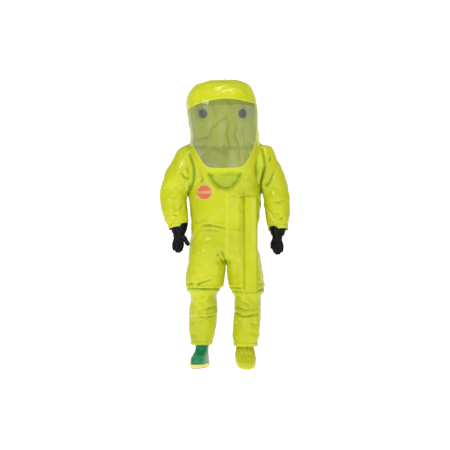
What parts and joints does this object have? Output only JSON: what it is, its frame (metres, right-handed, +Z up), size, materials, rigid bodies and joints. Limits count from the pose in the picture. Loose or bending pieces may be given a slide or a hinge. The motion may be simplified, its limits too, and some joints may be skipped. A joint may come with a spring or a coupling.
{
  "type": "chemical protective suit",
  "caption": "Gas-tight chemical protective suit, filled out as worn: hood with wide face shield, expanded back, zip under a storm flap, rubber gloves, sock foot and a safety boot.",
  "frame": {"origin": "on the floor between the feet, in the middle of the suit's width and depth", "axes": "+Z up; the face shield looks along -Y; the wearer's left is +X"},
  "size_m": [0.8769, 0.518, 1.9],
  "materials": {
    "lime_fabric": "glossy film-coated fabric",
    "lime_tape": "smooth",
    "clear_shield": "clear, glossy",
    "black_rubber": "satin",
    "black_plastic": "satin",
    "webbing": "woven",
    "grip_tape": "napped",
    "brass": "satin",
    "boot_green": "satin",
    "sole_yellow": "matt",
    "label": "smooth",
    "steel": "brushed"
  },
  "bodies": {
    "trunk": {"hood_shell": "lime_fabric", "face_shield": "clear_shield", "face_shield_binding": "lime_tape", "chest_bib": "lime_fabric", "torso_front_right": "lime_fabric", "torso_front_left": "lime_fabric", "torso_back": "lime_fabric", "chest_label": "label", "zipper_placket": "lime_fabric", "zipper_tape": "webbing", "zipper_chain": "brass", "zipper_top_stop": "brass", "zipper_bottom_stop": "brass", "flap_loop_strip": "grip_tape", "waist_belt": "webbing", "belt_buckle_plug": "black_plastic", "belt_buckle_socket": "black_plastic", "hanging_loop": "webbing", "leg_upper_right": "lime_fabric", "valve_body_right": "black_plastic", "valve_nut_right": "black_plastic", "valve_cap_right": "black_plastic", "leg_upper_left": "lime_fabric", "valve_body_left": "black_plastic", "valve_nut_left": "black_plastic", "valve_cap_left": "black_plastic"},
    "upper_arm_right": {"sleeve_upper_right": "lime_fabric"},
    "forearm_right": {"sleeve_lower_right": "lime_fabric", "glove_ring_right": "black_plastic", "glove_clamp_right": "steel", "glove_gauntlet_right": "black_rubber"},
    "hand_right": {"glove_hand_right": "black_rubber"},
    "shin_right": {"leg_lower_right": "lime_fabric", "splash_flap_right": "lime_fabric", "sock_right": "lime_fabric"},
    "valve_disc_right": {"valve_disc_right": "black_rubber"},
    "valve_cover_right": {"valve_cover_right": "lime_fabric"},
    "upper_arm_left": {"sleeve_upper_left": "lime_fabric"},
    "forearm_left": {"sleeve_lower_left": "lime_fabric", "glove_ring_left": "black_plastic", "glove_clamp_left": "steel", "glove_gauntlet_left": "black_rubber"},
    "hand_left": {"glove_hand_left": "black_rubber"},
    "shin_left": {"leg_lower_left": "lime_fabric", "splash_flap_left": "lime_fabric", "sock_left": "lime_fabric"},
    "valve_disc_left": {"valve_disc_left": "black_rubber"},
    "valve_cover_left": {"valve_cover_left": "lime_fabric"},
    "boot": {"boot_upper": "boot_green", "boot_sole": "sole_yellow"},
    "zipper_slider": {"zipper_slider": "brass"},
    "zipper_pull": {"zipper_pull": "brass"},
    "storm_flap": {"storm_flap": "lime_fabric", "flap_hook_strip": "grip_tape"}
  },
  "joints": [
    {"name": "shoulder_raise_right", "type": "hinge", "parent": "trunk", "child": "upper_arm_right", "pos_m": [-0.243, 0.015, 1.325], "axis": [0, 1, 0], "range_deg": [0, 75]},
    {"name": "elbow_bend_right", "type": "hinge", "parent": "upper_arm_right", "child": "forearm_right", "pos_m": [-0.345, 0.008, 1.12], "axis": [-1, 0, 0], "range_deg": [0, 60]},
    {"name": "wrist_bend_right", "type": "hinge", "parent": "forearm_right", "child": "hand_right", "pos_m": [-0.309, -0.038, 0.88], "axis": [-1, 0, 0], "range_deg": [-20, 20]},
    {"name": "knee_bend_right", "type": "hinge", "parent": "trunk", "child": "shin_right", "pos_m": [-0.142, 0.008, 0.505], "axis": [1, 0, 0], "range_deg": [0, 50]},
    {"name": "valve_disc_lift_right", "type": "slide", "parent": "trunk", "child": "valve_disc_right", "axis": [-0.515, 0.8572, 0], "range_m": [0, 0.002], "stiffness_N_per_m": 40},
    {"name": "valve_cover_lift_right", "type": "hinge", "parent": "trunk", "child": "valve_cover_right", "pos_m": [-0.15793, 0.20054, 1.7538], "axis": [0.8572, 0.515, 0], "range_deg": [0, 70]},
    {"name": "shoulder_raise_left", "type": "hinge", "parent": "trunk", "child": "upper_arm_left", "pos_m": [0.25, 0.015, 1.332], "axis": [0, -1, 0], "range_deg": [0, 75]},
    {"name": "elbow_bend_left", "type": "hinge", "parent": "upper_arm_left", "child": "forearm_left", "pos_m": [0.343, 0.008, 1.12], "axis": [-1, 0, 0], "range_deg": [0, 60]},
    {"name": "wrist_bend_left", "type": "hinge", "parent": "forearm_left", "child": "hand_left", "pos_m": [0.347, -0.038, 0.868], "axis": [-1, 0, 0], "range_deg": [-20, 20]},
    {"name": "knee_bend_left", "type": "hinge", "parent": "trunk", "child": "shin_left", "pos_m": [0.15, -0.018, 0.5], "axis": [1, 0, 0], "range_deg": [0, 50]},
    {"name": "valve_disc_lift_left", "type": "slide", "parent": "trunk", "child": "valve_disc_left", "axis": [0.515, 0.8572, 0], "range_m": [0, 0.002], "stiffness_N_per_m": 40},
    {"name": "valve_cover_lift_left", "type": "hinge", "parent": "trunk", "child": "valve_cover_left", "pos_m": [0.12872, 0.20054, 1.7538], "axis": [0.8572, -0.515, 0], "range_deg": [0, 70]},
    {"name": "boot_pull_off", "type": "slide", "parent": "shin_right", "child": "boot", "axis": [0, 0, -1], "range_m": [0, 0.3]},
    {"name": "zipper_slide", "type": "slide", "parent": "trunk", "child": "zipper_slider", "axis": [0, 0, 1], "range_m": [-0.545, 0]},
    {"name": "zipper_pull_swing", "type": "hinge", "parent": "zipper_slider", "child": "zipper_pull", "pos_m": [0.168, -0.147, 1.092], "axis": [0, 1, 0], "range_deg": [-15, 30]},
    {"name": "storm_flap_open", "type": "hinge", "parent": "trunk", "child": "storm_flap", "pos_m": [0.128, -0.1515, 0.8], "axis": [0, 0, -1], "range_deg": [0, 150]}
  ]
}
